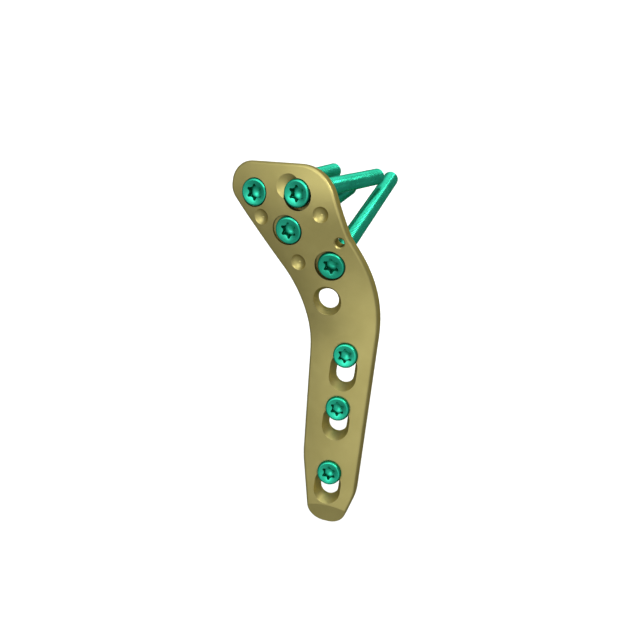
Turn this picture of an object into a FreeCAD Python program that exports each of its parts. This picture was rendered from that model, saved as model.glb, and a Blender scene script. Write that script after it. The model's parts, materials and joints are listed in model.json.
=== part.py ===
import FreeCAD, Part
import math
import os
import Sketcher

# Contoured orthopedic locking plate with its seven locking screws, in millimetres.
# Z runs up the straight shaft, X towards the front edge, Y from the outer face inwards.
# The origin lies on the axis of the open neck hole, where its straight bore begins.

V = FreeCAD.Vector
doc = FreeCAD.newDocument("LockingPlate")

# Driving dimensions
sheet = doc.addObject("Spreadsheet::Sheet", "Sizes")
SIZES = [
    # plate section
    ("plate_thickness", 3.6),
    ("shaft_section_radius", 38.0),
    ("shaft_half_span", 15.0),
    ("head_half_span", 24.0),
    ("head_axis_shift", 2.0),
    ("head_section_radius", 130.0),
    ("head_turn", 11.0),
    ("head_stand_off", 5.3),
    ("bend_start", -14.0),
    ("bend_end", 28.0),
    ("section_change_start", -6.0),
    ("rim_fillet", 0.8),
    ("tip_fillet", 0.5),
    ("underside_chamfer", 0.3),
    # outline: every place is measured from the mouth of the neck hole
    ("shaft_axis", 7.0),
    ("shaft_front", 8.0),
    ("shaft_rear", 8.2),
    ("neck_front", 7.5),
    ("neck_rear", 11.4),
    ("plate_bottom", -63.5),
    ("tip_width", 8.9),
    ("tip_shift", 0.55),
    ("tip_start_front", -53.3),
    ("tip_start_rear", -44.5),
    ("head_rear", -30.6),
    ("head_front", -3.4),
    ("head_top_rear", 33.5),
    ("head_top_front", 35.5),
    ("head_corner_height", 25.1),
    ("shoulder_x", 4.6),
    ("shoulder_height", 18.2),
    ("neck_front_height", 5.0),
    ("neck_rear_height", -1.9),
    # outline: corner radii
    ("head_rear_corner_radius", 6.0),
    ("head_front_corner_radius", 11.0),
    ("shoulder_radius", 12.0),
    ("neck_front_radius", 40.0),
    ("tip_front_radius", 14.0),
    ("tip_corner_radius", 4.9),
    ("tip_rear_radius", 30.0),
    ("neck_rear_radius", 36.0),
    ("head_lower_corner_radius", 5.0),
    # bevel across the tip
    ("tip_bevel_height", -57.7),
    ("tip_bevel_angle", 23.0),
    ("tip_bevel_turn", 5.0),
    # open neck hole
    ("neck_hole_radius", 3.0),
    ("neck_hole_mouth_radius", 4.05),
    ("neck_hole_land", 1.6),
    ("neck_hole_turn", -3.0),
    ("neck_hole_rise", 9.0),
    # wire hole
    ("wire_hole_radius", 1.25),
    ("wire_hole_mouth_radius", 1.6),
    ("wire_hole_mouth_depth", 0.35),
    ("wire_hole_x", 2.3),
    ("wire_hole_height", 16.3),
    ("wire_hole_turn", 0.0),
    ("wire_hole_rise", 14.0),
    # blind dimples
    ("dimple_mouth_radius", 2.2),
    ("dimple_depth", 1.1),
    ("rear_dimple_x", -20.45),
    ("rear_dimple_height", 19.6),
    ("front_dimple_x", -3.35),
    ("front_dimple_height", 22.9),
    ("lower_dimple_x", -8.75),
    ("lower_dimple_height", 9.25),
    # head and neck screws
    ("head_screw_rim_radius", 2.85),
    ("head_screw_head_radius", 3.8),
    ("head_screw_flank", 1.0),
    ("head_screw_cone", 2.6),
    ("head_screw_cone_radius", 3.15),
    ("head_screw_shank_radius", 2.5),
    ("head_screw_star_radius", 2.25),
    ("head_screw_star_depth", 2.2),
    ("head_screw_mouth_radius", 3.95),
    # shaft screws
    ("shaft_screw_rim_radius", 2.7),
    ("shaft_screw_head_radius", 3.45),
    ("shaft_screw_flank", 1.1),
    ("shaft_screw_cone", 2.5),
    ("shaft_screw_cone_radius", 2.85),
    ("shaft_screw_shank_radius", 2.25),
    ("shaft_screw_star_radius", 1.98),
    ("shaft_screw_star_depth", 2.0),
    ("shaft_screw_mouth_radius", 3.8),
    # all screws
    ("seat_clearance", 0.03),
    ("rim_dish", 0.4),
    ("rim_land", 0.12),
    ("tip_cone", 1.4),
    ("tip_flat_radius", 1.6),
    ("drill_point_depth", 0.6),
    ("star_point_turn", 5.0),
    # lobes of the shaft's combination holes, measured down from the screw
    ("lobe_mouth_radius", 3.97),
    ("lobe_start", 3.5),
    ("lobe_depth", 2.5),
    ("lobe_ramp", 2.0),
    ("slot_radius", 2.65),
    ("slot_start", 1.5),
    ("upper_lobe_reach", 10.25),
    ("middle_lobe_reach", 9.35),
    ("lower_lobe_reach", 9.4),
    # lobe of the head's combination hole, measured from the screw
    ("head_lobe_x", -2.6),
    ("head_lobe_height", 1.4),
    ("head_lobe_mouth_radius", 3.4),
    ("head_lobe_depth", 1.2),
    ("head_gap_x", 0.35),
    ("head_gap_height", -0.6),
    ("head_gap_depth", 1.2),
    # crescents: shallow second mouths beside two screws, measured from the screw
    ("crescent_radius", 4.1),
    ("crescent_depth", 1.0),
    ("head_screw_middle_crescent_x", -0.65),
    ("head_screw_middle_crescent_height", 0.1),
    ("neck_screw_crescent_x", -0.45),
    ("neck_screw_crescent_height", 0.1),
]
# Screws: place on the outer face, turn and rise of the axis, height of the rim above the face, length
SCREWS = [
    ("head_screw_rear", "head_screw", -23.2, 25.75, 7.0, 7.0, 0.25, 56.0),
    ("head_screw_front", "head_screw", -10.7, 27.3, 10.5, 6.0, 0.3, 54.0),
    ("head_screw_middle", "head_screw", -12.1, 17.3, 4.7, 14.1, 0.35, 48.0),
    ("neck_screw", "head_screw", 0.45, 9.75, -0.7, 18.5, 0.3, 72.0),
    ("shaft_screw_upper", "shaft_screw", 7.0, -14.0, 0.0, 0.0, 0.85, 32.0),
    ("shaft_screw_middle", "shaft_screw", 7.0, -29.1, 0.0, 0.0, 0.85, 28.0),
    ("shaft_screw_lower", "shaft_screw", 7.25, -47.9, 0.0, 0.0, 0.85, 28.0),
]
SCREW_COLUMNS = ("x", "height", "turn", "rise", "proud", "length")
for screw in SCREWS:
    SIZES += [(f"{screw[0]}_{column}", value) for column, value in zip(SCREW_COLUMNS, screw[2:])]
for row, (name, value) in enumerate(SIZES, start=1):
    sheet.set(f"A{row}", name)
    sheet.set(f"B{row}", str(value))
    sheet.setAlias(f"B{row}", name)
doc.recompute()


def size(name):
    return float(getattr(sheet, name))


class Measure:
    """A value with the sheet expression that it comes from, so that a sketch can be drawn and bound at once."""

    def __init__(self, value, text):
        self.value = value
        self.text = text

    def joined(self, other, sign, result):
        return Measure(result, f"({self.text} {sign} {other.text})")

    def __add__(self, other):
        return self.joined(other, "+", self.value + other.value)

    def __sub__(self, other):
        return self.joined(other, "-", self.value - other.value)

    def __mul__(self, share):
        return Measure(self.value * share, f"({self.text} * {share})")

    def __neg__(self):
        return self * -1.0


def cell(name):
    return Measure(size(name), f"Sizes.{name}")


ZERO = Measure(0.0, "0")
# How a sketch numbers the points of its lines and arcs, and its own origin and upright axis
START, FINISH, CENTRE = 1, 2, 3
ORIGIN, UPRIGHT_AXIS = -1, -2


def ease(height, start, end):
    """0 below start, 1 above end, with a smooth change between."""
    share = min(max((height - start) / (end - start), 0.0), 1.0)
    return share * share * (3 - 2 * share)


def inward(turn, rise):
    """Unit vector into the part: turned towards the front edge and risen towards the top, in degrees."""
    turn, rise = math.radians(turn), math.radians(rise)
    return V(math.sin(turn) * math.cos(rise), math.cos(turn) * math.cos(rise), math.sin(rise))


def plane_of(body, role):
    return next(feature for feature in body.Origin.OriginFeatures if feature.Role == role)


def new_sketch(body, name, role, offset=V(0, 0, 0)):
    sketch = body.newObject("Sketcher::SketchObject", name)
    sketch.AttachmentSupport = [(plane_of(body, role), "")]
    sketch.MapMode = "FlatFace"
    sketch.AttachmentOffset = FreeCAD.Placement(offset, FreeCAD.Rotation())
    return sketch


def bind_point(sketch, geometry, position, across, along):
    """Ties a point of the sketch to the sheet, measured from the sketch's origin."""
    for kind, measure in (("DistanceX", across), ("DistanceY", along)):
        index = sketch.addConstraint(Sketcher.Constraint(kind, ORIGIN, START, geometry, position, measure.value))
        sketch.setExpression(f"Constraints[{index}]", measure.text)


# Sections of the plate: arches that are bent outwards, turned and opened on the way up
HEAD_AXIS = (size("head_rear") + size("head_front")) / 2 + size("head_axis_shift")
NECK_HOLE_AXIS = inward(size("neck_hole_turn"), size("neck_hole_rise"))
NECK_HOLE_MOUTH_DEPTH = size("plate_thickness") - size("neck_hole_land")


def section_shape(height):
    """Centre, turn, radius and half span of the section at one height."""
    bend = ease(height, size("bend_start"), size("bend_end"))
    opening = ease(height, size("section_change_start"), size("bend_end"))
    centre_x = size("shaft_axis") + bend * (HEAD_AXIS - size("shaft_axis"))
    centre_y = -bend * size("head_stand_off")
    turn = math.radians(opening * size("head_turn"))
    curvature = (1 - opening) / size("shaft_section_radius") + opening / size("head_section_radius")
    half_span = (1 - opening) * size("shaft_half_span") + opening * size("head_half_span")
    return centre_x, centre_y, turn, 1 / curvature, half_span


def arch_centre(height):
    centre_x, centre_y, turn, radius, half_span = section_shape(height)
    return V(centre_x + radius * math.sin(turn), centre_y + radius * math.cos(turn), height)


def unshifted_face(x, height):
    """Y of the outer face before the plate is moved to its origin."""
    centre = arch_centre(height)
    radius = section_shape(height)[3]
    return centre.y - math.sqrt(radius**2 - (x - centre.x) ** 2)


MOUTH = NECK_HOLE_AXIS * -NECK_HOLE_MOUTH_DEPTH
# Moves the middle of the mouth, where the layout starts, out along the hole's axis
SHIFT = MOUTH - V(0, unshifted_face(0, 0), 0)


def outer_face(x, height):
    """The point of the outer face at one place across and one height."""
    return V(x, unshifted_face(x, height), height) + SHIFT


def draw_section(body, index, height):
    turn, radius, half_span = section_shape(height)[2:]
    sketch = new_sketch(body, f"Section{index}", "XY_Plane", V(0, 0, height + SHIFT.z))
    centre = arch_centre(height) + SHIFT
    centre.z = 0
    inner_radius = radius - size("plate_thickness")
    reach = math.asin(half_span / radius)
    start = -math.pi / 2 - turn - reach
    end = -math.pi / 2 - turn + reach

    def at(distance, angle):
        return centre + V(math.cos(angle), math.sin(angle), 0) * distance

    outer = sketch.addGeometry(Part.ArcOfCircle(Part.Circle(centre, V(0, 0, 1), radius), start, end))
    front = sketch.addGeometry(Part.LineSegment(at(radius, end), at(inner_radius, end)))
    inner = sketch.addGeometry(Part.ArcOfCircle(Part.Circle(centre, V(0, 0, 1), inner_radius), start, end))
    rear = sketch.addGeometry(Part.LineSegment(at(inner_radius, start), at(radius, start)))
    for first, first_end, second, second_end in (
        (outer, CENTRE, inner, CENTRE),
        (outer, FINISH, front, START),
        (front, FINISH, inner, FINISH),
        (inner, START, rear, START),
        (rear, FINISH, outer, START),
    ):
        sketch.addConstraint(Sketcher.Constraint("Coincident", first, first_end, second, second_end))
    return sketch


# Outline: the corners of a polygon and the radius that rounds each
def measures(*names):
    return [cell(name) for name in names]


SHAFT_FRONT = cell("shaft_axis") + cell("shaft_front")
SHAFT_REAR = cell("shaft_axis") - cell("shaft_rear")
TIP_FRONT = cell("shaft_axis") + cell("tip_width") * 0.5 + cell("tip_shift")
TIP_REAR = cell("shaft_axis") - cell("tip_width") * 0.5 + cell("tip_shift")
OUTLINE = [
    measures("head_rear", "head_top_rear", "head_rear_corner_radius"),
    measures("head_front", "head_top_front", "head_front_corner_radius"),
    measures("shoulder_x", "shoulder_height", "shoulder_radius"),
    [cell("shaft_axis") + cell("neck_front"), cell("neck_front_height"), cell("neck_front_radius")],
    [SHAFT_FRONT, cell("tip_start_front"), cell("tip_front_radius")],
    [TIP_FRONT, cell("plate_bottom"), cell("tip_corner_radius")],
    [TIP_REAR, cell("plate_bottom"), cell("tip_corner_radius")],
    [SHAFT_REAR, cell("tip_start_rear"), cell("tip_rear_radius")],
    [cell("shaft_axis") - cell("neck_rear"), cell("neck_rear_height"), cell("neck_rear_radius")],
    measures("head_rear", "head_corner_height", "head_lower_corner_radius"),
]


def draw_rounded(sketch, corners):
    """Draws a closed outline of straight sides joined by tangent arcs, with every corner and radius bound."""
    places = [V(across.value, along.value, 0) for across, along, radius in corners]
    count = len(corners)
    arcs = []
    for index, (across, along, radius) in enumerate(corners):
        back = (places[index - 1] - places[index]).normalize()
        ahead = (places[(index + 1) % count] - places[index]).normalize()
        half_angle = back.getAngle(ahead) / 2
        trim = radius.value / math.tan(half_angle)
        centre = places[index] + (back + ahead).normalize() * (radius.value / math.sin(half_angle))
        begin = places[index] + back * trim
        finish = places[index] + ahead * trim
        clockwise = back.cross(ahead).z > 0
        first, last = (finish, begin) if clockwise else (begin, finish)
        angles = [math.atan2(point.y - centre.y, point.x - centre.x) for point in (first, last)]
        arcs.append((begin, finish, centre, radius, angles, clockwise))
    arc_ids = []
    line_ids = []
    for index, (begin, finish, centre, radius, angles, clockwise) in enumerate(arcs):
        circle = Part.Circle(centre, V(0, 0, 1), radius.value)
        arc_ids.append(sketch.addGeometry(Part.ArcOfCircle(circle, angles[0], angles[1])))
        line_ids.append(sketch.addGeometry(Part.LineSegment(finish, arcs[(index + 1) % count][0])))
    for index, (across, along, radius) in enumerate(corners):
        clockwise = arcs[index][5]
        begin_end, finish_end = (FINISH, START) if clockwise else (START, FINISH)
        before, after = line_ids[index - 1], line_ids[index]
        sketch.addConstraint(Sketcher.Constraint("Tangent", before, FINISH, arc_ids[index], begin_end))
        sketch.addConstraint(Sketcher.Constraint("Tangent", arc_ids[index], finish_end, after, START))
        corner = sketch.addGeometry(Part.Point(places[index]), True)
        sketch.addConstraint(Sketcher.Constraint("PointOnObject", corner, START, before))
        sketch.addConstraint(Sketcher.Constraint("PointOnObject", corner, START, after))
        bind_point(sketch, corner, START, across, along)
        bound = sketch.addConstraint(Sketcher.Constraint("Radius", arc_ids[index], radius.value))
        sketch.setExpression(f"Constraints[{bound}]", radius.text)


def draw_polygon(sketch, corners):
    """Draws a closed polygon."""
    count = len(corners)
    lines = [sketch.addGeometry(Part.LineSegment(corners[i], corners[(i + 1) % count])) for i in range(count)]
    for i in range(count):
        sketch.addConstraint(Sketcher.Constraint("Coincident", lines[i], FINISH, lines[(i + 1) % count], START))


# Blank: the arches joined into one gutter, then trimmed to the outline
SECTION_COUNT = 18
END_MARGIN = 3.0
TOP = max(size("head_top_rear"), size("head_top_front")) + END_MARGIN
BOTTOM = size("plate_bottom") - END_MARGIN
blank = doc.addObject("PartDesign::Body", "PlateBlank")
sections = []
for index in range(SECTION_COUNT):
    sections.append(draw_section(blank, index, BOTTOM + (TOP - BOTTOM) * index / (SECTION_COUNT - 1)))
gutter = blank.newObject("PartDesign::AdditiveLoft", "Gutter")
gutter.Profile = sections[0]
gutter.Sections = sections[1:]
doc.recompute()
outline = new_sketch(blank, "Outline", "XZ_Plane", V(SHIFT.x, SHIFT.z, 0))
draw_rounded(outline, OUTLINE)
AROUND = 60.0
low, high = BOTTOM - AROUND, TOP + AROUND
draw_polygon(outline, [V(-AROUND, low, 0), V(AROUND, low, 0), V(AROUND, high, 0), V(-AROUND, high, 0)])
trim = blank.newObject("PartDesign::Pocket", "TrimToOutline")
trim.Profile = outline
trim.Type = 1
trim.Midplane = True
doc.recompute()


def edge_names(shape, edges):
    return [f"Edge{i}" for i, edge in enumerate(shape.Edges, start=1) if any(edge.isSame(e) for e in edges)]


def broad_faces(shape):
    """Outer face and contact face of the trimmed plate: its two largest, the outer one first."""
    return sorted(sorted(shape.Faces, key=lambda face: face.Area)[-2:], key=lambda face: face.CenterOfMass.y)


# Rounded rim on the outer side
rim = blank.newObject("PartDesign::Fillet", "RimFillet")
rim.Base = (trim, edge_names(trim.Shape, broad_faces(trim.Shape)[0].Edges))
rim.setExpression("Radius", "Sizes.rim_fillet")
doc.recompute()

# Bevel: everything outside a sloping plane is cut off the tip
WEDGE_REACH = 60.0
bevel_start = outer_face(size("shaft_axis"), size("tip_bevel_height"))
bevel_slope = math.radians(size("tip_bevel_angle"))
wedge = new_sketch(blank, "TipWedge", "YZ_Plane")
wedge.AttachmentOffset = FreeCAD.Placement(
    V(bevel_start.y, bevel_start.z, bevel_start.x), FreeCAD.Rotation(V(1, 0, 0), -size("tip_bevel_turn"))
)
along_bevel = V(math.sin(bevel_slope), -math.cos(bevel_slope), 0) * WEDGE_REACH
off_bevel = V(-math.cos(bevel_slope), -math.sin(bevel_slope), 0) * WEDGE_REACH
draw_polygon(wedge, [along_bevel, along_bevel * -1, off_bevel - along_bevel, off_bevel + along_bevel])
bevel = blank.newObject("PartDesign::Pocket", "TipBevel")
bevel.Profile = wedge
bevel.Type = 1
bevel.Midplane = True
doc.recompute()


def bevel_rim(shape):
    """Edges of the bevel that lie on the plate's wall, below its upper line."""
    flat = [face for face in shape.Faces if face.Surface.isPlanar() and face.normalAt(0, 0).y < -0.5]
    face = max(flat, key=lambda candidate: candidate.Area)
    upper = max(edge.CenterOfMass.z for edge in face.Edges)
    return [edge for edge in face.Edges if edge.CenterOfMass.z < upper - size("rim_fillet")]


tip_rim = blank.newObject("PartDesign::Fillet", "TipFillet")
tip_rim.Base = (bevel, edge_names(bevel.Shape, bevel_rim(bevel.Shape)))
tip_rim.setExpression("Radius", "Sizes.tip_fillet")
doc.recompute()

# Broken edge on the contact side
underside = blank.newObject("PartDesign::Chamfer", "UndersideChamfer")
underside.Base = (tip_rim, edge_names(tip_rim.Shape, broad_faces(tip_rim.Shape)[1].Edges))
underside.setExpression("Size", "Sizes.underside_chamfer")
blank.Tip = underside
doc.recompute()


# Frames along the axes of holes and screws: local Z leaves the plate, local Y is towards the top
def frame_at(point, direction, spin=0.0):
    outwards = direction * -1
    across = V(0, 0, 1).cross(outwards).normalize()
    turned = FreeCAD.Rotation(across, outwards.cross(across), outwards, "ZXY")
    return FreeCAD.Placement(point, turned.multiply(FreeCAD.Rotation(V(0, 0, 1), spin)))


def moved(frame, outwards, across=0.0, upwards=0.0):
    return frame.multiply(FreeCAD.Placement(V(across, upwards, outwards), FreeCAD.Rotation()))


def face_frame(x, height):
    """Frame on the outer face, square to it."""
    step = 0.5
    across = outer_face(x + step, height) - outer_face(x - step, height)
    upwards = outer_face(x, height + step) - outer_face(x, height - step)
    return frame_at(outer_face(x, height), upwards.cross(across).normalize())


# Cutters, each with its base on the frame that it is given
CUT_REACH = 12.0
cutters = []


def cylinder_cutter(name, frame, radius):
    cutter = doc.addObject("Part::Cylinder", name)
    cutter.setExpression("Radius", radius.text)
    cutter.Height = CUT_REACH
    cutter.Placement = frame
    cutters.append(cutter)


def cone_cutter(name, frame, base_radius, top_radius, height):
    cutter = doc.addObject("Part::Cone", name)
    cutter.setExpression("Radius1", base_radius.text)
    cutter.setExpression("Radius2", top_radius.text)
    cutter.setExpression("Height", height.text)
    cutter.Placement = frame
    cutters.append(cutter)


def countersink_cutter(name, mouth_frame, bore_radius, mouth_radius, depth):
    """A cone from the bore to the mouth that runs on past the face at the same slope."""
    overrun = 2.0
    top_radius = bore_radius + (mouth_radius - bore_radius) * overrun
    cone_cutter(name, moved(mouth_frame, -depth.value), bore_radius, top_radius, depth * overrun)


def bowl_cutter(name, frame, mouth_radius, depth):
    """A ball that leaves a shallow bowl of the given mouth and depth."""
    ball = doc.addObject("Part::Sphere", name)
    mouth, deep = mouth_radius.text, depth.text
    ball.setExpression("Radius", f"({mouth} * {mouth} + {deep} * {deep}) / (2 * {deep})")
    doc.recompute()
    ball.Placement = moved(frame, ball.Radius.Value - depth.value)
    cutters.append(ball)


# Open neck hole: countersunk mouth, then a straight bore through to the contact side
neck_frame = frame_at(MOUTH, NECK_HOLE_AXIS)
neck_bore, neck_mouth = cell("neck_hole_radius"), cell("neck_hole_mouth_radius")
countersink_cutter("NeckHoleMouth", neck_frame, neck_bore, neck_mouth, cell("plate_thickness") - cell("neck_hole_land"))
cylinder_cutter("NeckHoleBore", moved(neck_frame, -CUT_REACH), neck_bore)

# Wire hole
wire_point = outer_face(size("wire_hole_x"), size("wire_hole_height"))
wire_frame = frame_at(wire_point, inward(size("wire_hole_turn"), size("wire_hole_rise")))
wire_bore, wire_mouth = cell("wire_hole_radius"), cell("wire_hole_mouth_radius")
countersink_cutter("WireHoleMouth", wire_frame, wire_bore, wire_mouth, cell("wire_hole_mouth_depth"))
cylinder_cutter("WireHoleBore", moved(wire_frame, -CUT_REACH), wire_bore)

# Blind dimples
for place in ("rear", "front", "lower"):
    dimple_frame = face_frame(size(f"{place}_dimple_x"), size(f"{place}_dimple_height"))
    bowl_cutter(f"{place.title()}Dimple", dimple_frame, cell("dimple_mouth_radius"), cell("dimple_depth"))


# Screws and their seats
def locate_screw(name):
    """Frame of a screw, with its origin in the plane of the rim."""
    direction = inward(size(f"{name}_turn"), size(f"{name}_rise"))
    point = outer_face(size(f"{name}_x"), size(f"{name}_height"))
    return frame_at(point - direction * size(f"{name}_proud"), direction, size("star_point_turn"))


def cut_seat(name, kind, frame):
    """Mouth, locking cone and through bore for one screw."""
    clearance, cone = cell("seat_clearance"), cell(f"{kind}_cone")
    wide = cell(f"{kind}_head_radius") + clearance
    narrow = cell(f"{kind}_cone_radius") + clearance
    shoulder = moved(frame, -size(f"{kind}_flank"))
    cylinder_cutter(f"{name}_mouth_cutter", shoulder, cell(f"{kind}_mouth_radius"))
    cone_cutter(f"{name}_cone_cutter", moved(shoulder, -cone.value), narrow, wide, cone)
    cylinder_cutter(f"{name}_bore_cutter", moved(shoulder, -cone.value - CUT_REACH), narrow)


def draw_loop(sketch, *pieces):
    """Adds arcs and lines that follow one another and joins their ends."""
    ids = [sketch.addGeometry(piece) for piece in pieces]
    for index, piece in enumerate(pieces):
        following = (index + 1) % len(pieces)
        finish = piece.EndPoint
        near_start = finish.distanceToPoint(pieces[following].StartPoint)
        near_end = finish.distanceToPoint(pieces[following].EndPoint)
        next_end = START if near_start < near_end else FINISH
        sketch.addConstraint(Sketcher.Constraint("Coincident", ids[index], FINISH, ids[following], next_end))
    return ids


STAR_POINTS = 6
# Shares of the star's outer radius: the rounding of a point, and the distance to a valley
STAR_POINT_SHARE = 0.173
STAR_VALLEY_SHARE = 0.711
# The drilled floor stays just inside the valleys
DRILL_SHARE = 0.98


def draw_star(sketch, radius):
    """Rounded points with round valleys between them."""
    point_radius = radius * STAR_POINT_SHARE
    valley = radius * STAR_VALLEY_SHARE
    out = radius - point_radius
    half_pitch = math.pi / STAR_POINTS
    cosine = math.cos(half_pitch)
    bulge = (point_radius**2 - out**2 - valley**2 + 2 * out * valley * cosine) / (
        2 * (valley - out * cosine - point_radius)
    )
    far = valley + bulge
    joint = math.atan2(far * math.sin(half_pitch), far * cosine - out)
    for index in range(STAR_POINTS):
        angle = math.pi / 2 + 2 * half_pitch * index
        point_centre = V(math.cos(angle), math.sin(angle), 0) * out
        point_circle = Part.Circle(point_centre, V(0, 0, 1), point_radius)
        sketch.addGeometry(Part.ArcOfCircle(point_circle, angle - joint, angle + joint))
        angle += half_pitch
        valley_centre = V(math.cos(angle), math.sin(angle), 0) * far
        valley_circle = Part.Circle(valley_centre, V(0, 0, 1), bulge)
        swing = joint - half_pitch
        sketch.addGeometry(Part.ArcOfCircle(valley_circle, angle + math.pi - swing, angle + math.pi + swing))
    count = sketch.GeometryCount
    for index in range(count):
        is_point = index % 2 == 0
        end = FINISH if is_point else START
        sketch.addConstraint(Sketcher.Constraint("Coincident", index, end, (index + 1) % count, end))


# Where the two facets of a screw head's flank meet, as shares of its width and height
KNEE_ACROSS = 0.7
KNEE_DOWN = 0.28


def draw_profile(sketch, points):
    """Closed half profile through bound points."""
    draw_polygon(sketch, [V(across.value, along.value, 0) for across, along in points])
    for index, (across, along) in enumerate(points):
        bind_point(sketch, index, START, across, along)


def revolve(body, kind, name, sketch):
    feature = body.newObject(f"PartDesign::{kind}", name)
    feature.Profile = sketch
    feature.ReferenceAxis = (sketch, ["V_Axis"])
    feature.Angle = 360.0
    return feature


def make_screw(name, kind, frame):
    """A locking screw: revolved outside, star socket with a drilled floor."""
    body = doc.addObject("PartDesign::Body", name)
    body.Label = name
    shoulder = -cell(f"{kind}_flank")
    cone_end = shoulder - cell(f"{kind}_cone")
    end = -cell(f"{name}_length")
    star_radius = cell(f"{kind}_star_radius")
    shank = cell(f"{kind}_shank_radius")
    rim_radius = cell(f"{kind}_rim_radius")
    head_radius = cell(f"{kind}_head_radius")
    knee = rim_radius + (head_radius - rim_radius) * KNEE_ACROSS
    outside = new_sketch(body, f"{name}_outside", "XZ_Plane")
    points = [
        (ZERO, -cell("rim_dish")),
        (star_radius, -cell("rim_dish")),
        (rim_radius - cell("rim_land"), ZERO),
        (rim_radius, ZERO),
        (knee, shoulder * KNEE_DOWN),
        (head_radius, shoulder),
        (cell(f"{kind}_cone_radius"), cone_end),
        (shank, cone_end),
        (shank, end + cell("tip_cone")),
        (cell("tip_flat_radius"), end),
        (ZERO, end),
    ]
    draw_profile(outside, points)
    revolve(body, "Revolution", f"{name}_turned", outside)
    star = new_sketch(body, f"{name}_star", "XY_Plane")
    draw_star(star, star_radius.value)
    socket = body.newObject("PartDesign::Pocket", f"{name}_socket")
    socket.Profile = star
    socket.setExpression("Length", f"Sizes.{kind}_star_depth")
    drill = new_sketch(body, f"{name}_drill", "XZ_Plane")
    floor = -cell(f"{kind}_star_depth")
    floor_radius = star_radius * (STAR_VALLEY_SHARE * DRILL_SHARE)
    draw_profile(drill, [(ZERO, floor), (floor_radius, floor), (ZERO, floor - cell("drill_point_depth"))])
    body.Tip = revolve(body, "Groove", f"{name}_drilled", drill)
    body.Placement = frame
    return body


subparts = {}
frames = {}
for name, kind, *rest in SCREWS:
    frames[name] = locate_screw(name)
    cut_seat(name, kind, frames[name])
    subparts[name] = make_screw(name, kind, frames[name])

# Crescents: shallow second mouths to the left of two screws
for name in ("head_screw_middle", "neck_screw"):
    across, upwards = size(f"{name}_crescent_x"), size(f"{name}_crescent_height")
    base = moved(frames[name], -size(f"{name}_proud") - size("crescent_depth"), across, upwards)
    cylinder_cutter(f"{name}_crescent", base, cell("crescent_radius"))

# Combination hole of the head: shallow lobe towards the upper rear, gap below the screw
front = frames["head_screw_front"]
lobe_x = size("head_screw_front_x") + size("head_lobe_x")
lobe_height = size("head_screw_front_height") + size("head_lobe_height")
bowl_cutter("HeadLobe", face_frame(lobe_x, lobe_height), cell("head_lobe_mouth_radius"), cell("head_lobe_depth"))
gap = moved(front, -size("head_screw_flank") - size("head_gap_depth"), size("head_gap_x"), size("head_gap_height"))
cylinder_cutter("HeadGap", gap, cell("head_screw_mouth_radius"))


# Combination holes of the shaft: a long lobe that narrows down a ramp to a slot
def stadium(name, frame, radius, start, finish):
    """Closed wire round two centres below the screw, in the plane of the frame."""
    sketch = doc.addObject("Sketcher::SketchObject", name)
    sketch.Placement = frame
    normal = V(0, 0, 1)
    high, low = V(0, start.value, 0), V(0, finish.value, 0)
    side = V(radius.value, 0, 0)
    ids = draw_loop(
        sketch,
        Part.ArcOfCircle(Part.Circle(high, normal, radius.value), 0, math.pi),
        Part.LineSegment(high - side, low - side),
        Part.ArcOfCircle(Part.Circle(low, normal, radius.value), math.pi, 2 * math.pi),
        Part.LineSegment(low + side, high + side),
    )
    for arc, centre in ((ids[0], start), (ids[2], finish)):
        sketch.addConstraint(Sketcher.Constraint("PointOnObject", arc, CENTRE, UPRIGHT_AXIS))
        for kind, measure in (("Radius", radius), ("DistanceY", centre)):
            target = (arc,) if kind == "Radius" else (ORIGIN, START, arc, CENTRE)
            index = sketch.addConstraint(Sketcher.Constraint(kind, *target, measure.value))
            sketch.setExpression(f"Constraints[{index}]", measure.text)
    return sketch


LOBE_OVERRUN = 0.1
for place in ("upper", "middle", "lower"):
    screw = f"shaft_screw_{place}"
    face = frame_at(outer_face(size(f"{screw}_x"), size(f"{screw}_height")), inward(0, 0))
    reach = -cell(f"{place}_lobe_reach")
    wide, narrow = cell("lobe_mouth_radius"), cell("slot_radius")
    slot_end = reach + cell("lobe_ramp") + narrow
    mouth = stadium(f"{place}_mouth", moved(face, LOBE_OVERRUN), wide, -cell("lobe_start"), reach + wide)
    throat = stadium(f"{place}_throat", moved(face, -size("lobe_depth")), narrow, -cell("slot_start"), slot_end)
    exit_slot = stadium(f"{place}_exit", moved(face, -CUT_REACH), narrow, -cell("slot_start"), slot_end)
    lobe = doc.addObject("Part::Loft", f"{place}_lobe")
    lobe.Sections = [mouth, throat, exit_slot]
    lobe.Solid = True
    lobe.Ruled = True
    cutters.append(lobe)

# Plate: the blank with every hole cut out of it
all_cutters = doc.addObject("Part::MultiFuse", "HoleCutters")
all_cutters.Shapes = cutters
plate = doc.addObject("Part::Cut", "Plate")
plate.Base = blank
plate.Tool = all_cutters
plate.Label = "plate"
subparts = {"plate": plate, **subparts}
doc.recompute()

# Every object has to be sound before anything is written
faults = [item.Label for item in doc.Objects if {"Invalid", "Error"} & set(item.State)]
faults += [label for label, item in subparts.items() if item.Shape.isNull() or not item.Shape.isValid()]
if faults:
    raise RuntimeError(f"unsound: {faults}")
os.makedirs("parts", exist_ok=True)
for label, item in subparts.items():
    item.Shape.exportStep(f"parts/{label}.step")
    box = item.Shape.BoundBox
    print(f"{label}: {len(item.Shape.Solids)} solid, {item.Shape.Volume:.1f} mm3, "
          f"{box.XLength:.1f} x {box.YLength:.1f} x {box.ZLength:.1f} mm")
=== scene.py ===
# %% [markdown]
# # A contoured locking plate with its seven screws
# This notebook dresses a small implant: an orthopedic plate of gold-anodised titanium, bent in an S, with a
# wide turned head and a straight shaft, and seven green-anodised locking screws that stand in its holes.
# The CAD model already has every solid at its real size, so Blender's work is the finish: anodised metal
# that catches a soft light, crisp edges round the holes, and the fine threads that were left out of the
# solids. All lengths are in metres. The straight shaft runs along Z, and the plate's outer face looks along
# -Y.

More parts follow.
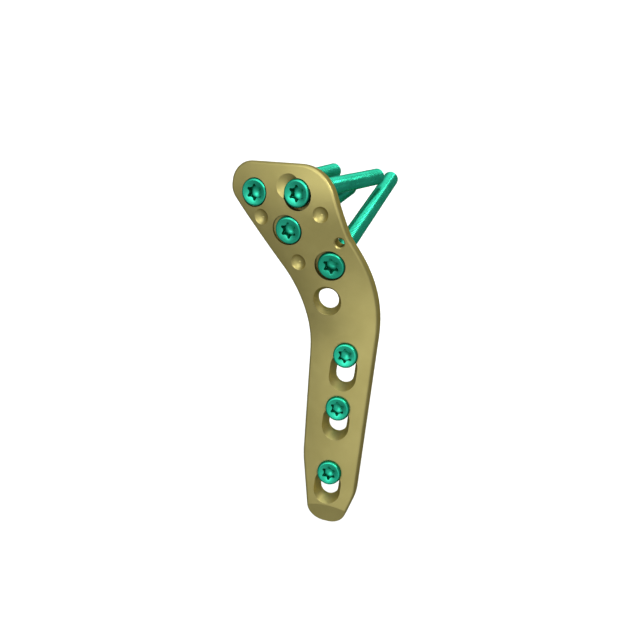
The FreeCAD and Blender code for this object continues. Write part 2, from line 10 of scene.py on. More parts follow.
# %% Load the frame
import json
import math

import bmesh
import bpy
import numpy as np
from mathutils import Matrix, Vector


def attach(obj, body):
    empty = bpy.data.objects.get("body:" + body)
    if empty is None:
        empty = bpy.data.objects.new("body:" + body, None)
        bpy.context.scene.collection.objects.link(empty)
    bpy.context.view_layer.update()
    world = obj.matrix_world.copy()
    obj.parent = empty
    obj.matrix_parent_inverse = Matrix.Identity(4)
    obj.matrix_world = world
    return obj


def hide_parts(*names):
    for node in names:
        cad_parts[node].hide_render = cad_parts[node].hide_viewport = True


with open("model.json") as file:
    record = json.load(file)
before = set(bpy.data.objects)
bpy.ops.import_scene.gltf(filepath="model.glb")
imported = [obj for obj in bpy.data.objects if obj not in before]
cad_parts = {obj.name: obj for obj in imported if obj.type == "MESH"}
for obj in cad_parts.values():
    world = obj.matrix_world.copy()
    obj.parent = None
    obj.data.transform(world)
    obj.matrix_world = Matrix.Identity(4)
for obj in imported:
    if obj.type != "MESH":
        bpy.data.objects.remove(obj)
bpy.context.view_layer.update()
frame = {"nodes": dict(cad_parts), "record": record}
MM = 0.001
print("nodes:", sorted(frame["nodes"]))

# %% [markdown]
# ## Node trees as plain expressions
# Materials and Geometry Nodes are both graphs of sockets. Adding every Math node by hand hides the idea
# behind the wiring, so one small class wraps an output socket and lets Python's operators add the Math
# nodes. The reflected forms make `1 - mask` work too. A second class holds the tree, and its one method
# makes any other node.

# %% Sockets that do maths
class Value:
    """An output socket of a node tree. Arithmetic on it adds Math nodes."""

    def __init__(self, graph, socket):
        self.graph = graph
        self.socket = socket

    def maths(self, operation, first, second=0.0):
        return self.graph.node("ShaderNodeMath", {"operation": operation}, {0: first, 1: second})

    def __add__(self, other):
        return self.maths("ADD", self, other)

    def __radd__(self, other):
        return self.maths("ADD", other, self)

    def __sub__(self, other):
        return self.maths("SUBTRACT", self, other)

    def __rsub__(self, other):
        return self.maths("SUBTRACT", other, self)

    def __mul__(self, other):
        return self.maths("MULTIPLY", self, other)

    def __rmul__(self, other):
        return self.maths("MULTIPLY", other, self)

    def __truediv__(self, other):
        return self.maths("DIVIDE", self, other)

    def __abs__(self):
        return self.maths("ABSOLUTE", self)

    def least(self, other):
        return self.maths("MINIMUM", self, other)

    def most(self, other):
        return self.maths("MAXIMUM", self, other)

    def fraction(self):
        return self.maths("FRACT", self)

    def exponential(self):
        return self.maths("EXPONENT", self)

    def root(self):
        return self.maths("SQRT", self)

    def between(self, low, high, start=0.0, end=1.0):
        """Eases from start, where this is low, to end, where this is high."""
        settings = {"interpolation_type": "SMOOTHSTEP"}
        names = {"Value": self, "From Min": low, "From Max": high, "To Min": start, "To Max": end}
        return self.graph.node("ShaderNodeMapRange", settings, names)


class Graph:
    """A node tree that is filled by expressions."""

    def __init__(self, tree):
        self.tree = tree
        tree.nodes.clear()

    def node(self, kind, settings=None, inputs=None, output=0):
        """Adds a node: its settings first, then the values or links of its sockets."""
        made = self.tree.nodes.new(kind)
        for name, setting in (settings or {}).items():
            setattr(made, name, setting)
        for name, value in (inputs or {}).items():
            if isinstance(value, Value):
                self.tree.links.new(value.socket, made.inputs[name])
            else:
                made.inputs[name].default_value = value
        return Value(self, made.outputs[output]) if made.outputs else None

    def mix_colours(self, share, first, second):
        """A Mix node for colours: its colour sockets are the seventh and eighth, and its third output."""
        settings = {"data_type": "RGBA", "clamp_factor": True}
        return self.node("ShaderNodeMix", settings, {0: share, 6: first, 7: second}, output=2)


operators = [name for name in vars(Value) if name.startswith("__") and callable(getattr(Value, name))]
print("operators ready:", [name.strip("_") for name in operators if name != "__init__"])

# %% [markdown]
# ## Anodised titanium
# Anodising grows a clear oxide film, so the metal keeps its shine and takes one strong colour. Paint would
# look flat, because it hides the metal. The finish here is a metallic surface with five things laid over
# it: a slow drift of the colour, as the film is never even; a fine satin grain in the bump, from blasting;
# a slightly uneven roughness; paler, smoother edges where the film has rubbed thin; and painted shade, a
# darker colour deep in the recesses.
#
# Two nodes look at the shape itself. The Bevel node gives the normal that a rounded edge would have, so it
# differs from the true normal only near an edge. The Ambient Occlusion node tells how closed in a point is,
# so it finds sockets and holes, and there the colour is darkened as painted shade. A mesh can add painted
# shade of its own by an attribute, which is 0 where a mesh has none. All patterns read Object coordinates,
# so they keep their scale in metres and stay put when the object is turned.

# %% Material builder
DRIFTS_PER_METRE = 70.0
SMUDGES_PER_METRE = 420.0
GRAINS_PER_METRE = 6500.0
EDGE_RADIUS = 0.25 * MM
EDGE_RANGE = (0.01, 0.25)
PAINTED_SHADE_RANGE = (0.32, 0.72)
BUMP_STRENGTH = 0.35


def noise(graph, place, features_per_metre, detail, roughness=0.55):
    values = {"Vector": place, "Scale": features_per_metre, "Detail": detail, "Roughness": roughness}
    return graph.node("ShaderNodeTexNoise", {"noise_dimensions": "3D"}, values)


def dot(graph, first, second):
    settings = {"operation": "DOT_PRODUCT"}
    return graph.node("ShaderNodeVectorMath", settings, {0: first, 1: second}, output="Value")


def edge_mask(graph, radius):
    """1 on edges and 0 on open faces: the Bevel node's rounded normal leaves the true one there."""
    true_normal = graph.node("ShaderNodeNewGeometry", output="Normal")
    rounded = graph.node("ShaderNodeBevel", {"samples": 6}, {"Radius": radius})
    return (1.0 - dot(graph, true_normal, rounded)).between(*EDGE_RANGE)


def recess_shade_mask(graph, reach):
    """Where painted shade goes: 1 deep in holes and corners, and 0 on open faces."""
    settings = {"samples": 8}
    open_share = graph.node("ShaderNodeAmbientOcclusion", settings, {"Distance": reach}, output="AO")
    return (1.0 - open_share).between(*PAINTED_SHADE_RANGE)


def anodised(
    name,
    deep,
    light,
    worn,
    shade,
    shade_share,
    shade_reach,
    rim_tint,
    roughness,
    grain_depth,
    metallic,
    relief=None,
):
    """Anodised metal between a deep and a light tone, worn on its edges, with painted shade in its
    recesses.

    Relief adds a shape of its own to the grain's height.
    """
    material = bpy.data.materials.new(name)
    material.use_nodes = True
    graph = Graph(material.node_tree)
    place = graph.node("ShaderNodeTexCoord", output="Object")
    drift = noise(graph, place, DRIFTS_PER_METRE, detail=2.0).between(0.35, 0.65)
    smudge = noise(graph, place, SMUDGES_PER_METRE, detail=5.0, roughness=0.6).between(0.4, 0.75)
    grain = noise(graph, place, GRAINS_PER_METRE, detail=2.0, roughness=0.5)
    edge = edge_mask(graph, EDGE_RADIUS)
    film = graph.mix_colours(drift * 0.7 + smudge * 0.3, (*deep, 1.0), (*light, 1.0))
    rubbed = graph.mix_colours(edge * (0.35 + smudge * 0.3), film, (*worn, 1.0))
    # Painted shade: deep in holes, corners and sockets the colour is pulled towards the dark shade tone.
    socket_shade = graph.node("ShaderNodeAttribute", {"attribute_name": "socket_shade"}, output="Fac")
    painted_shade_mask = recess_shade_mask(graph, shade_reach).most(socket_shade)
    colour = graph.mix_colours(painted_shade_mask * shade_share, rubbed, (*shade, 1.0))
    surface_roughness = roughness + smudge * 0.05 + (grain - 0.5) * 0.06 - edge * 0.04
    height = grain + relief(graph, place) / grain_depth if relief else grain
    relief_values = {"Strength": BUMP_STRENGTH, "Distance": grain_depth, "Height": height}
    bump = graph.node("ShaderNodeBump", None, relief_values, output="Normal")
    shader = graph.node(
        "ShaderNodeBsdfPrincipled",
        None,
        {
            "Base Color": colour,
            "Metallic": metallic,
            "Roughness": surface_roughness,
            "Specular Tint": (*rim_tint, 1.0),
            "Normal": bump,
        },
    )
    graph.node("ShaderNodeOutputMaterial", None, {"Surface": shader})
    return material


print("grain, wear and recesses are ready")

# %% [markdown]
# ## Two finishes, and a thread in the open hole
# Both metals come from the same builder with their own numbers: the plate is satin gold, and the screws are
# a smoother green. The neck hole is open, so its threaded seat shows. A thread is a wave along the axis
# whose start moves on with the angle round it, and one turn moves it by one pitch. As a height in the bump
# it needs no extra mesh. Distance from the axis and depth in the hole fade it out everywhere else on the
# plate.

# %% Gold and green
NECK_HOLE = next(mount for mount in frame["record"]["mounts"] if mount["name"] == "neck_hole")
COUNTERSINK_DEPTH = 2.0 * MM
COUNTERSINK_RADIUS = 4.05 * MM
SEAT_PITCH = 0.5 * MM
SEAT_THREAD_DEPTH = 0.10 * MM
SEAT_THREAD_END = 1.7 * MM
SEAT_FADE = 0.1 * MM


def seat_thread(graph, place):
    """Height of the fine thread in the open hole's conical mouth, and 0 away from it."""
    axis = Vector(NECK_HOLE["axis"])
    side = axis.cross((0, 0, 1)).normalized()
    centre = Vector(NECK_HOLE["pos_m"])
    offset = graph.node("ShaderNodeVectorMath", {"operation": "SUBTRACT"}, {0: place, 1: centre})
    along, across, upwards = (dot(graph, offset, line) for line in (axis, side, axis.cross(side)))
    reach = (across * across + upwards * upwards).root()
    turn = across.maths("ARCTAN2", across, upwards) / math.tau
    wave = abs((along / SEAT_PITCH + turn).fraction() * 2.0 - 1.0)
    inside = reach.between(COUNTERSINK_RADIUS - SEAT_FADE, COUNTERSINK_RADIUS, 1.0, 0.0)
    above_bore = along.between(-SEAT_FADE, SEAT_FADE)
    below_mouth = along.between(SEAT_THREAD_END, COUNTERSINK_DEPTH, 1.0, 0.0)
    return wave * inside * above_bore * below_mouth * SEAT_THREAD_DEPTH


gold = anodised(
    "gold_anodised",
    deep=(0.350, 0.300, 0.108),
    light=(0.395, 0.340, 0.128),
    worn=(0.58, 0.52, 0.27),
    # painted shade in holes, corners and round the screw heads: its dark tone, share and reach
    shade=(0.13, 0.11, 0.035),
    shade_share=0.65,
    shade_reach=3 * MM,
    rim_tint=(0.25, 0.22, 0.10),
    metallic=0.9,
    roughness=0.40,
    grain_depth=0.010 * MM,
    relief=seat_thread,
)
green = anodised(
    "green_anodised",
    deep=(0.018, 0.360, 0.220),
    light=(0.028, 0.450, 0.285),
    worn=(0.16, 0.70, 0.52),
    # painted shade in the sockets and round the heads: its dark tone, share and reach
    shade=(0.006, 0.16, 0.10),
    shade_share=0.95,
    shade_reach=2.2 * MM,
    rim_tint=(0.05, 0.35, 0.22),
    metallic=0.9,
    roughness=0.24,
    grain_depth=0.006 * MM,
)
print("materials:", gold.name, green.name)

# %% [markdown]
# ## Reading the screws' places from the frame
# Each screw stands at its own angle. Its axis could be typed in again, but then it could drift from the
# solids. So it is measured on the CAD mesh: the vertices at the two far ends lie on circles round the axis,
# and a least-squares circle finds each centre. Two or three rounds of that settle the direction to a few
# microns.

# %% Axis of a screw
def merged_points(node):
    """The node's vertices, each place once."""
    places = np.array([vertex.co for vertex in frame["nodes"][node].data.vertices], float)
    return np.unique(places.round(7), axis=0)


def circle_centre(points, normal):
    """Centre of the circle that fits the points best, in the plane square to the normal."""
    across = np.cross(normal, (0.0, 0.0, 1.0))
    across /= np.linalg.norm(across)
    upwards = np.cross(normal, across)
    middle = points.mean(axis=0)
    u, v = (points - middle) @ across, (points - middle) @ upwards
    rows = np.column_stack([2 * u, 2 * v, np.ones(len(u))])
    (centre_u, centre_v, _), *_ = np.linalg.lstsq(rows, u**2 + v**2, rcond=None)
    return middle + across * centre_u + upwards * centre_v


def screw_ends(node):
    """Centre of the rim and centre of the tip."""
    points = merged_points(node)
    direction = np.linalg.svd(points - points.mean(axis=0), full_matrices=False)[2][0]
    if direction[1] < 0:
        direction = -direction
    slack = 0.06 * MM
    for _ in range(4):
        depth = points @ direction
        rim = circle_centre(points[depth < depth.min() + slack], direction)
        tip = circle_centre(points[depth > depth.max() - slack], direction)
        direction = (tip - rim) / np.linalg.norm(tip - rim)
    return Vector(rim), Vector(tip)


def screw_frame(rim, tip):
    """Placement with Z out of the head and Y towards the top."""
    outwards = (rim - tip).normalized()
    across = Vector((0, 0, 1)).cross(outwards).normalized()
    columns = Matrix((across, outwards.cross(across), outwards)).transposed()
    return Matrix.Translation(rim) @ columns.to_4x4()


SCREWS = sorted(name for name in frame["nodes"] if "screw" in name)
ends = {name: screw_ends(name) for name in SCREWS}
for name, (rim, tip) in ends.items():
    print(f"{name}: {(tip - rim).length / MM:.2f} mm long")

# %% [markdown]
# ## The screw's shank, as Geometry Nodes
# A thread follows one rule all along the shank: the radius rises and falls once a pitch, and the whole wave
# turns with the angle. So the shank is a Geometry Nodes tree with named inputs: a cylinder with many rings,
# whose points are moved out to the radius that the rule gives. Near the head the thread fades out, and the
# tip is bevelled. A swept ridge on a plain rod would be quicker to set up, but it leaves two surfaces that
# cut each other.

# %% Thread tree
RIDGE_FOOT, RIDGE_TOP = 0.22, 0.78


def thread_tree():
    tree = bpy.data.node_groups.new("threaded_shank", "GeometryNodeTree")
    graph = Graph(tree)
    inputs = {
        "Length": 0.05,
        "Crest Radius": 0.0025,
        "Root Radius": 0.0022,
        "Pitch": 0.001,
        "Run Out": 0.0015,
        "Tip Length": 0.001,
        "Tip Radius": 0.0018,
    }
    for name, value in inputs.items():
        tree.interface.new_socket(name, in_out="INPUT", socket_type="NodeSocketFloat").default_value = value
    for name, value in (("Ring Points", 48), ("Rings A Turn", 10)):
        tree.interface.new_socket(name, in_out="INPUT", socket_type="NodeSocketInt").default_value = value
    tree.interface.new_socket("Material", in_out="INPUT", socket_type="NodeSocketMaterial")
    tree.interface.new_socket("Geometry", in_out="OUTPUT", socket_type="NodeSocketGeometry")
    group = tree.nodes.new("NodeGroupInput")

    def given(name):
        return Value(graph, group.outputs[name])

    length, crest, root, pitch = (given(n) for n in ("Length", "Crest Radius", "Root Radius", "Pitch"))
    rod = graph.node(
        "GeometryNodeMeshCylinder",
        {"fill_type": "TRIANGLE_FAN"},
        {
            "Vertices": given("Ring Points"),
            "Side Segments": length / pitch * given("Rings A Turn"),
            "Radius": crest,
            "Depth": length,
        },
    )
    place = graph.node("GeometryNodeInputPosition")
    split = graph.node("ShaderNodeSeparateXYZ", None, {0: place}).socket.node
    x, y, z = (Value(graph, output) for output in split.outputs)
    turn = x.maths("ARCTAN2", y, x) / math.tau
    depth = length / 2 - z
    wave = 1.0 - abs((1.0 - (depth / pitch + turn).fraction()) * 2.0 - 1.0)
    from_tip = length - depth
    ridge = wave.between(RIDGE_FOOT, RIDGE_TOP) * depth.between(0.0, given("Run Out"))
    bevel = given("Tip Radius") + (crest - given("Tip Radius")) * from_tip / given("Tip Length")
    radius = (root + (crest - root) * ridge).least(bevel)
    flat = graph.node("ShaderNodeCombineXYZ", None, {0: x, 1: y, 2: 0.0})
    spoke = graph.node("ShaderNodeVectorMath", {"operation": "NORMALIZE"}, {0: flat})
    reach = graph.node("ShaderNodeVectorMath", {"operation": "SCALE"}, {0: spoke, "Scale": radius})
    level = graph.node("ShaderNodeCombineXYZ", None, {2: -1.0 * depth})
    target = graph.node("ShaderNodeVectorMath", {"operation": "ADD"}, {0: reach, 1: level})
    shaped = graph.node("GeometryNodeSetPosition", None, {"Geometry": rod, "Position": target})
    smooth = graph.node("GeometryNodeSetShadeSmooth", None, {"Geometry": shaped})
    real = graph.node("GeometryNodeRealizeInstances", None, {"Geometry": smooth})
    painted = graph.node(
        "GeometryNodeSetMaterial", None, {"Geometry": real, "Material": given("Material")}
    )
    finish_tree(graph, painted)
    return tree


def finish_tree(graph, result):
    out = graph.tree.nodes.new("NodeGroupOutput")
    graph.tree.links.new(result.socket, out.inputs[0])


def mesh_from_tree(tree, values):
    """Runs a Geometry Nodes tree on an empty mesh and keeps its result as a plain mesh."""
    holder = bpy.data.objects.new("holder", bpy.data.meshes.new("holder"))
    bpy.context.scene.collection.objects.link(holder)
    modifier = holder.modifiers.new("tree", "NODES")
    modifier.node_group = tree
    sockets = {item.name: item.identifier for item in tree.interface.items_tree if item.in_out == "INPUT"}
    for name, value in values.items():
        modifier[sockets[name]] = value
    evaluated = holder.evaluated_get(bpy.context.evaluated_depsgraph_get())
    mesh = bpy.data.meshes.new_from_object(evaluated)
    bpy.data.objects.remove(holder)
    return mesh


shank_tree = thread_tree()
print("shank inputs:", [item.name for item in shank_tree.interface.items_tree if item.in_out == "INPUT"])

# %% [markdown]
# ## The screw's head
# The head is turned on a lathe and then broached: a cone that locks in the plate, a round flank, a narrow
# bright rim, a face that falls as a shallow cone, and a star socket with six rounded points. A boolean
# could cut the star, but it leaves long thin triangles that spoil reflections. Here every cross-section is
# a ring with the same number of points, from the step behind the cone up the outside, over the rim and down
# into the socket, joined by clean quads. The star is a ring too: its radius at each angle comes from the
# two circles that make its points and valleys. The socket's rings also carry a value of painted shade, so
# the material paints its walls and floor dark, and leaves the drill cone in the middle of the floor bright.

# %% Head of a screw
# Radii, and heights along the axis, in millimetres.
LARGE_HEAD = dict(rim=3.2, head=3.8, flank=1.0, cone=2.6, narrow=3.15, shank=2.5, star=2.25, deep=2.2)
SMALL_HEAD = dict(rim=2.8, head=3.45, flank=1.1, cone=2.5, narrow=2.85, shank=2.25, star=1.98, deep=2.0)
KINDS = {"head_screw": LARGE_HEAD, "neck_screw": LARGE_HEAD, "shaft_screw": SMALL_HEAD}
RING_POINTS = 144
FLANK_STEPS = 7
FLANK_FULLNESS = (0.8, 1.2)
SOFT_EDGE = 0.03
RIM_LAND = 0.14
DISH_SLOPE = 0.36
DRILL_DEPTH = 0.6
DRILL_SHARE = 0.98
BRIGHT_CORE = 0.6
# Painted shade in the socket, one value for each of the last rings: walls and floor dark, drill core light.
SOCKET_SHADE = (0.5, 0.95, 0.95, 0.9, 0.1)
STAR_TURN = math.radians(5)
POINT_SHARE = 0.173
VALLEY_SHARE = 0.711


def star_reach(angle, size):
    """Distance from the axis to the star's outline at an angle, for a star of the given outer radius."""
    rounding, valley = size * POINT_SHARE, size * VALLEY_SHARE
    out = size - rounding
    half = math.pi / 6
    bulge = (rounding**2 - out**2 - valley**2 + 2 * out * valley * math.cos(half)) / (
        2 * (valley - out * math.cos(half) - rounding)
    )
    far = valley + bulge
    joint = math.atan2(far * math.sin(half), far * math.cos(half) - out)
    joint_angle = math.atan2(rounding * math.sin(joint), out + rounding * math.cos(joint))
    off_point = abs((angle - STAR_TURN - math.pi / 2 + half) % (2 * half) - half)
    if off_point < joint_angle:
        return out * math.cos(off_point) + math.sqrt(rounding**2 - (out * math.sin(off_point)) ** 2)
    off_valley = half - off_point
    return far * math.cos(off_valley) - math.sqrt(bulge**2 - (far * math.sin(off_valley)) ** 2)


def ring(radius, level):
    """Points round the axis. The radius may be a function of the angle, and the level one of the radius."""
    points = []
    for index in range(RING_POINTS):
        angle = math.tau * index / RING_POINTS
        reach = radius(angle) if callable(radius) else radius
        height = level(reach) if callable(level) else level
        points.append(Vector((reach * math.cos(angle), reach * math.sin(angle), height)) * MM)
    return points


def rings_to_mesh(name, rings, first_tip, last_tip, recesses):
    """Closed mesh from rings that follow one another, with a fan to a point at each end.

    The last rings take the values of painted shade, one each.
    """
    work = bmesh.new()
    socket_shade = work.verts.layers.float.new("socket_shade")
    loops = [[work.verts.new(point) for point in points] for points in rings]
    for loop, value in zip(loops[-len(recesses):], recesses):
        for vertex in loop:
            vertex[socket_shade] = value
    for lower, upper in zip(loops, loops[1:]):
        for index in range(RING_POINTS):
            following = (index + 1) % RING_POINTS
            work.faces.new((lower[index], lower[following], upper[following], upper[index]))
    for loop, tip in ((loops[0], first_tip), (loops[-1], last_tip)):
        centre = work.verts.new(Vector((0, 0, tip * MM)))
        for index in range(RING_POINTS):
            work.faces.new((loop[index], loop[(index + 1) % RING_POINTS], centre))
    bmesh.ops.recalc_face_normals(work, faces=work.faces)
    mesh = bpy.data.meshes.new(name)
    work.to_mesh(mesh)
    work.free()
    return mesh


def flank_rings(sizes):
    """The round flank between the widest circle and the rim: a quarter of an ellipse, a little fuller."""
    made = []
    outwards, upwards = FLANK_FULLNESS
    for step in range(FLANK_STEPS + 1):
        angle = math.pi / 2 * step / FLANK_STEPS
        across = sizes["rim"] + (sizes["head"] - sizes["rim"]) * math.cos(angle) ** outwards
        made.append(ring(across, -sizes["flank"] * (1 - math.sin(angle) ** upwards)))
    return made


def head_mesh(name, sizes):
    cone_end = -sizes["flank"] - sizes["cone"]
    star, deep = sizes["star"], -sizes["deep"]
    inner_rim = sizes["rim"] - RIM_LAND
    soft = SOFT_EDGE

    def outline(grown=0.0):
        return lambda angle: star_reach(angle, star) + grown

    def dish(radius, lowered=0.0):
        return (radius - inner_rim) * DISH_SLOPE - lowered

    rings = [ring(sizes["narrow"] - soft, cone_end), ring(sizes["narrow"], cone_end + soft)]
    rings += [ring(sizes["head"] - soft, -sizes["flank"] - soft)]
    rings += flank_rings(sizes)
    rings += [ring(sizes["rim"] - soft, 0.0), ring(inner_rim + soft, 0.0), ring(inner_rim, -soft / 2)]
    rings += [ring(inner_rim - soft, dish), ring(outline(2 * soft), dish), ring(outline(soft), dish)]
    drill = star * VALLEY_SHARE * DRILL_SHARE
    rings += [ring(outline(), lambda radius: dish(radius, soft)), ring(outline(), deep + soft)]
    rings += [ring(outline(-soft), deep), ring(drill, deep)]
    rings += [ring(drill * BRIGHT_CORE, deep - DRILL_DEPTH * (1 - BRIGHT_CORE))]
    return rings_to_mesh(name, rings, cone_end, deep - DRILL_DEPTH, SOCKET_SHADE)


reaches = [star_reach(math.tau * index / RING_POINTS, LARGE_HEAD["star"]) for index in range(RING_POINTS)]
print(f"{RING_POINTS} points in a ring; the large star reaches {min(reaches):.2f} to {max(reaches):.2f} mm")

# %% [markdown]
# ## Putting the screws together
# A head and its shank are one turned piece, so they become one object, which stands for its CAD node. The
# shading is smooth, except across edges sharper than a set angle, where a turned part has a real corner.

# %% Seven screws
SHANK_POINTS = 48
RINGS_A_TURN = 10
PITCH = 1.0 * MM
THREAD_DEPTH = 0.24 * MM
SHANK_OVERLAP = 0.2 * MM
TIP_LENGTH = 1.4 * MM
TIP_RADIUS = 1.6 * MM
SHARP = math.radians(38)


def join(name, meshes, material):
    """One object from several meshes, with smooth shading between sharp edges."""
    work = bmesh.new()
    for mesh in meshes:
        work.from_mesh(mesh)
        bpy.data.meshes.remove(mesh)
    whole = bpy.data.meshes.new(name)
    work.to_mesh(whole)
    work.free()
    whole.materials.clear()
    whole.materials.append(material)
    whole.polygons.foreach_set("material_index", [0] * len(whole.polygons))
    whole.shade_smooth()
    whole.set_sharp_from_angle(angle=SHARP)
    piece = bpy.data.objects.new(name, whole)
    bpy.context.scene.collection.objects.link(piece)
    return piece


def make_screw(node):
    rim, tip = ends[node]
    sizes = KINDS[next(kind for kind in KINDS if node.startswith(kind))]
    start = (sizes["flank"] + sizes["cone"]) * MM - SHANK_OVERLAP
    head = head_mesh(node + "_head", sizes)
    shank = mesh_from_tree(
        shank_tree,
        {
            "Length": (tip - rim).length - start,
            "Crest Radius": sizes["shank"] * MM,
            "Root Radius": sizes["shank"] * MM - THREAD_DEPTH,
            "Pitch": PITCH,
            "Run Out": 2 * PITCH,
            "Tip Length": TIP_LENGTH,
            "Tip Radius": TIP_RADIUS,
            "Ring Points": SHANK_POINTS,
            "Rings A Turn": RINGS_A_TURN,
            "Material": green,
        },
    )
    shank.transform(Matrix.Translation((0, 0, -start)))
    piece = join(node + "_finished", [head, shank], green)
    piece.data.transform(screw_frame(rim, tip))
    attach(piece, "root")
    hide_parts(node)
    return piece


screws = [make_screw(node) for node in SCREWS]
for screw in screws:
    print(f"{screw.name}: {len(screw.data.polygons)} faces")

# %% [markdown]
# ## The plate
# The plate's form is the CAD's work, and its mesh comes with the exact normals of the curved surfaces.
# Welding or remeshing would lose them, so the node's own mesh stays as it is and only takes the material.

# %% Plate material
plate_mesh = frame["nodes"]["plate"].data
plate_mesh.materials.clear()
plate_mesh.materials.append(gold)
print(f"plate: {len(plate_mesh.polygons)} faces, exact normals: {plate_mesh.has_custom_normals}")

# %% [markdown]
# ## Floor and backdrop
# The picture shows the plate in front of plain white. The floor is one pale sheet that sweeps up behind the
# plate, and a pale dome stands far round both, so no view ends in darkness. Every object has Ray Visibility
# switches, and the sheet and the dome keep only the camera's. So the backdrop may be as bright as it likes,
# and the metal still mirrors nothing but the lights.

# %% Floor and backdrop
FLOOR_LEVEL = -0.12
FLOOR_FRONT = -1.4
SWEEP_RADIUS = 0.25
SWEEP_STEPS = 24
FLOOR_BACK = 0.25
FLOOR_HALF_WIDTH = 1.4
SWEEP_TOP = 1.4
PAPER = (0.90, 0.90, 0.89)
DOME_RADIUS = 3.0
DOME_TONE = (0.98, 0.98, 0.98)


def camera_only(sheet):
    """The metal neither mirrors this piece of the stage nor loses light behind it."""
    sheet.visible_diffuse = False
    sheet.visible_glossy = False
    sheet.visible_transmission = False
    sheet.visible_shadow = False


def sweep_profile():
    """Points of the sheet's section: the flat floor, a quarter turn, and the wall."""
    points = [(FLOOR_FRONT, FLOOR_LEVEL), (FLOOR_BACK, FLOOR_LEVEL)]
    for step in range(1, SWEEP_STEPS + 1):
        angle = math.pi / 2 * step / SWEEP_STEPS
        rise = SWEEP_RADIUS * (1 - math.cos(angle))
        points.append((FLOOR_BACK + SWEEP_RADIUS * math.sin(angle), FLOOR_LEVEL + rise))
    points.append((FLOOR_BACK + SWEEP_RADIUS, SWEEP_TOP))
    return points


def make_floor():
    profile = sweep_profile()
    vertices = [(side * FLOOR_HALF_WIDTH, y, z) for y, z in profile for side in (-1, 1)]
    faces = [(2 * i, 2 * i + 1, 2 * i + 3, 2 * i + 2) for i in range(len(profile) - 1)]
    mesh = bpy.data.meshes.new("floor")
    mesh.from_pydata(vertices, [], faces)
    mesh.shade_smooth()
    floor = bpy.data.objects.new("floor", mesh)
    bpy.context.scene.collection.objects.link(floor)
    material = bpy.data.materials.new("floor_paper")
    material.use_nodes = True
    graph = Graph(material.node_tree)
    paper = graph.node(
        "ShaderNodeBsdfPrincipled",
        None,
        {"Base Color": (*PAPER, 1.0), "Roughness": 0.9, "Specular IOR Level": 0.1},
    )
    graph.node("ShaderNodeOutputMaterial", None, {"Surface": paper})
    mesh.materials.append(material)
    camera_only(floor)
    return floor


def make_walls():
    """A pale dome far round the plate, so that every view ends in the same plain tone."""
    work = bmesh.new()
    bmesh.ops.create_icosphere(work, subdivisions=4, radius=DOME_RADIUS)
    mesh = bpy.data.meshes.new("walls")
    work.to_mesh(mesh)
    work.free()
    mesh.shade_smooth()
    walls = bpy.data.objects.new("walls", mesh)
    bpy.context.scene.collection.objects.link(walls)
    material = bpy.data.materials.new("pale_wall")
    material.use_nodes = True
    graph = Graph(material.node_tree)
    glow = graph.node("ShaderNodeEmission", None, {"Color": (*DOME_TONE, 1.0), "Strength": 1.0})
    graph.node("ShaderNodeOutputMaterial", None, {"Surface": glow})
    mesh.materials.append(material)
    camera_only(walls)
    return walls


stage = [make_floor(), make_walls()]
print("stage:", [sheet.name for sheet in stage])

# %% [markdown]
# ## Soft light
# Anodised metal is dark until it has something bright to mirror, so the tone of every face tells which part
# of the room it faces. The room is the World: an even dim light with soft glows. The dot product of two
# directions is 1 where they agree and falls off round that, and an exponential turns it into a soft spot,
# narrower as its focus grows. The main glow stands a little left of the front, and lights the flat shaft. A
# weaker one low on the right draws the curved sides, one overhead catches the upper edges, one from below
# keeps the bevelled tip bright, and a broad one at the back serves the views from behind. A small square
# panel on the right adds the sheen on the screws' heads.

# %% Lights
def bearing(azimuth, elevation):
    """Direction from the plate. Azimuth 0 is the plate's front, and 90 its right side."""
    a, e = math.radians(azimuth), math.radians(elevation)
    return Vector((math.sin(a) * math.cos(e), -math.cos(a) * math.cos(e), math.sin(e)))


def soft_panel(name, azimuth, elevation, distance, width, height, power, tint):
    """A rectangular area light that faces the plate."""
    back = bearing(azimuth, elevation)
    data = bpy.data.lights.new(name, "AREA")
    data.shape = "RECTANGLE"
    data.size, data.size_y = width, height
    data.energy = power
    data.color = tint
    panel = bpy.data.objects.new(name, data)
    panel.location = back * distance
    panel.rotation_euler = (-back).to_track_quat("-Z", "Y").to_euler()
    bpy.context.scene.collection.objects.link(panel)
    return panel


soft_panel("key", 40, 42, 0.6, 0.24, 0.24, 1.7, (1.0, 0.98, 0.94))


def surroundings(dim, glows):
    """World with an even dim light and soft glows. A glow is its bearing, its strength and its focus."""
    world = bpy.data.worlds.new("studio")
    bpy.context.scene.world = world
    world.use_nodes = True
    graph = Graph(world.node_tree)
    direction = graph.node("ShaderNodeTexCoord", output="Generated")
    light = dim
    for azimuth, elevation, strength, focus in glows:
        towards = bearing(azimuth, elevation)
        light = light + strength * ((dot(graph, direction, towards) - 1.0) * focus).exponential()
    glow = graph.node("ShaderNodeBackground", None, {"Color": (0.98, 1.0, 1.0, 1.0), "Strength": light})
    graph.node("ShaderNodeOutputWorld", None, {"Surface": glow})


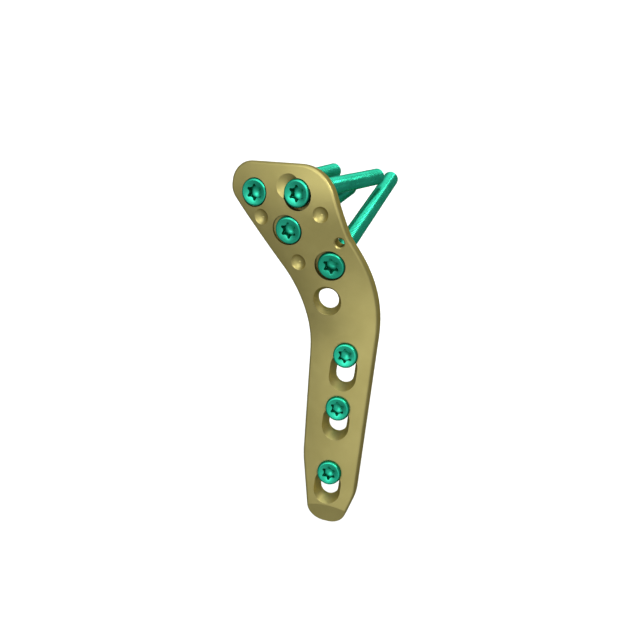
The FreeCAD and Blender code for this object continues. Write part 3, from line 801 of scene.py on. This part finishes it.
surroundings(
    0.19,
    [
        (-20, 19, 3.7, 12.0),
        (25, -8, 1.1, 8.0),
        (0, 72, 2.6, 10.0),
        (5, -60, 0.4, 4.0),
        (180, 20, 1.0, 3.0),
    ],
)
bpy.context.scene.view_settings.view_transform = "Standard"
print("lights:", [light.name for light in bpy.data.lights])

# %% [markdown]
# ## Camera
# The angle comes from the ellipses of the holes and from the angles between the screws: 15 degrees to the
# right, 12 degrees above, and rolled almost 8 degrees. Everything is measured from the mouth of the open
# neck hole. The focal length is known in pixels of the picture, and Blender wants millimetres, so it is
# scaled by the sensor.

# %% Camera
VIEW_AZIMUTH = math.radians(15)
VIEW_ELEVATION = math.radians(12)
VIEW_ROLL = math.radians(7.8)
VIEW_DISTANCE = 0.219
VIEW_OFFSET = Vector((-3.002, -3.676, 0)) * MM
FOCAL_PIXELS = 820.2
PICTURE_PIXELS = 630


def make_camera():
    mouth = Vector(NECK_HOLE["pos_m"]) + Vector(NECK_HOLE["axis"]) * COUNTERSINK_DEPTH
    data = bpy.data.cameras.new("camera")
    data.sensor_width = 36.0
    data.lens = data.sensor_width * FOCAL_PIXELS / PICTURE_PIXELS
    camera = bpy.data.objects.new("camera", data)
    back = Vector((
        math.sin(VIEW_AZIMUTH) * math.cos(VIEW_ELEVATION),
        -math.cos(VIEW_AZIMUTH) * math.cos(VIEW_ELEVATION),
        math.sin(VIEW_ELEVATION),
    ))
    turned = (-back).to_track_quat("-Z", "Y").to_matrix() @ Matrix.Rotation(VIEW_ROLL, 3, "Z")
    spot = mouth + back * VIEW_DISTANCE + turned @ VIEW_OFFSET
    camera.matrix_world = Matrix.Translation(spot) @ turned.to_4x4()
    bpy.context.scene.collection.objects.link(camera)
    bpy.context.scene.camera = camera
    return camera


camera = make_camera()
print("camera at", [round(value / MM, 1) for value in camera.matrix_world.translation], "mm")
print("looks along", [round(value, 4) for value in camera.matrix_world.to_3x3() @ Vector((0, 0, -1))])

# %% [markdown]
